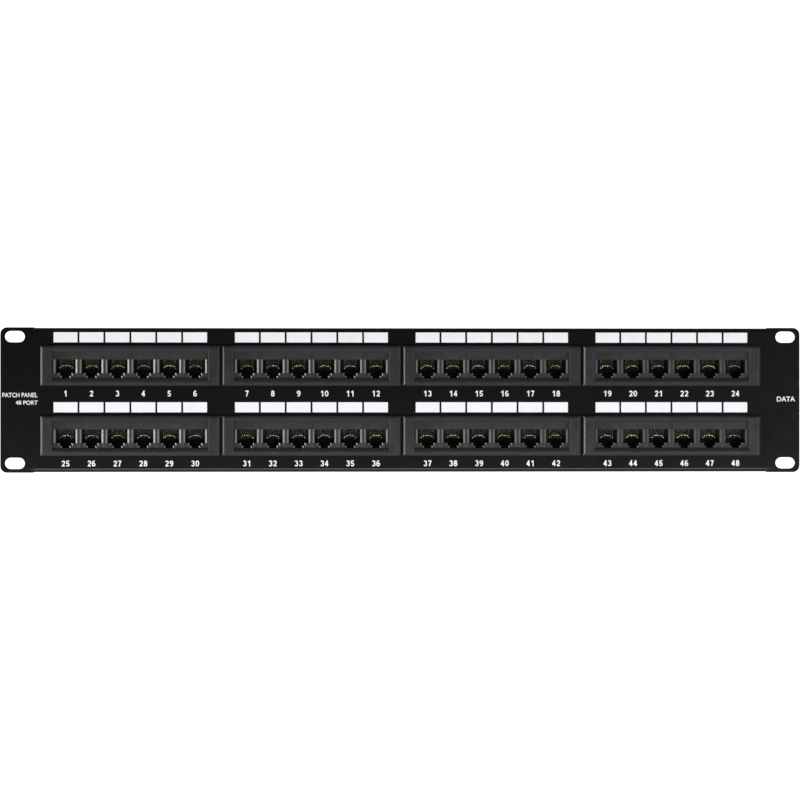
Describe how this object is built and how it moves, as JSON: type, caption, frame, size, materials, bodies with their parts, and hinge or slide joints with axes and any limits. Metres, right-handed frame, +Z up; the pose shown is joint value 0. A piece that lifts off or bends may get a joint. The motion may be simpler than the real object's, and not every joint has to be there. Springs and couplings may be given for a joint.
{
  "type": "patch panel",
  "caption": "Two-unit rack patch panel: a black folded steel front with modular jack sockets, numbered ports, white label blocks, and wire termination blocks behind.",
  "frame": {"origin": "middle of the steel sheet's rear face, the plane that seats on the rack rails", "axes": "+X to the right seen from the front, -Y out of the front where the sockets open, +Z up"},
  "size_m": [0.4826, 0.0346, 0.0874],
  "materials": {
    "powder_coated_steel": "semi-gloss black powder coat",
    "bezel_plastic": "satin moulded plastic, fine texture",
    "jack_plastic": "satin moulded plastic",
    "carrier_plastic": "plain moulded plastic",
    "board_laminate": "green solder mask on glass-fibre laminate",
    "block_plastic": "plain moulded plastic",
    "zinc_screw": "bright zinc plate",
    "gold_contact": "gold plate on phosphor bronze",
    "tinned_contact": "bright tin plate",
    "white_print": "screen-printed white ink",
    "label_strip": "printed label strip"
  },
  "bodies": {
    "root": {"front_panel": "powder_coated_steel", "bezel_1": "bezel_plastic", "bezel_2": "bezel_plastic", "bezel_3": "bezel_plastic", "bezel_4": "bezel_plastic", "bezel_5": "bezel_plastic", "bezel_6": "bezel_plastic", "bezel_7": "bezel_plastic", "bezel_8": "bezel_plastic", "jack_housing_1": "jack_plastic", "jack_housing_2": "jack_plastic", "jack_housing_3": "jack_plastic", "jack_housing_4": "jack_plastic", "jack_housing_5": "jack_plastic", "jack_housing_6": "jack_plastic", "jack_housing_7": "jack_plastic", "jack_housing_8": "jack_plastic", "contact_carrier_1": "carrier_plastic", "contact_carrier_2": "carrier_plastic", "contact_carrier_3": "carrier_plastic", "contact_carrier_4": "carrier_plastic", "contact_carrier_5": "carrier_plastic", "contact_carrier_6": "carrier_plastic", "contact_carrier_7": "carrier_plastic", "contact_carrier_8": "carrier_plastic", "circuit_board_1": "board_laminate", "circuit_board_2": "board_laminate", "circuit_board_3": "board_laminate", "circuit_board_4": "board_laminate", "circuit_board_5": "board_laminate", "circuit_board_6": "board_laminate", "circuit_board_7": "board_laminate", "circuit_board_8": "board_laminate", "termination_block_1": "block_plastic", "termination_block_2": "block_plastic", "termination_block_3": "block_plastic", "termination_block_4": "block_plastic", "termination_block_5": "block_plastic", "termination_block_6": "block_plastic", "termination_block_7": "block_plastic", "termination_block_8": "block_plastic", "screw_1_left": "zinc_screw", "screw_1_right": "zinc_screw", "screw_2_left": "zinc_screw", "screw_2_right": "zinc_screw", "screw_3_left": "zinc_screw", "screw_3_right": "zinc_screw", "screw_4_left": "zinc_screw", "screw_4_right": "zinc_screw", "screw_5_left": "zinc_screw", "screw_5_right": "zinc_screw", "screw_6_left": "zinc_screw", "screw_6_right": "zinc_screw", "screw_7_left": "zinc_screw", "screw_7_right": "zinc_screw", "screw_8_left": "zinc_screw", "screw_8_right": "zinc_screw"}
  },
  "joints": []
}
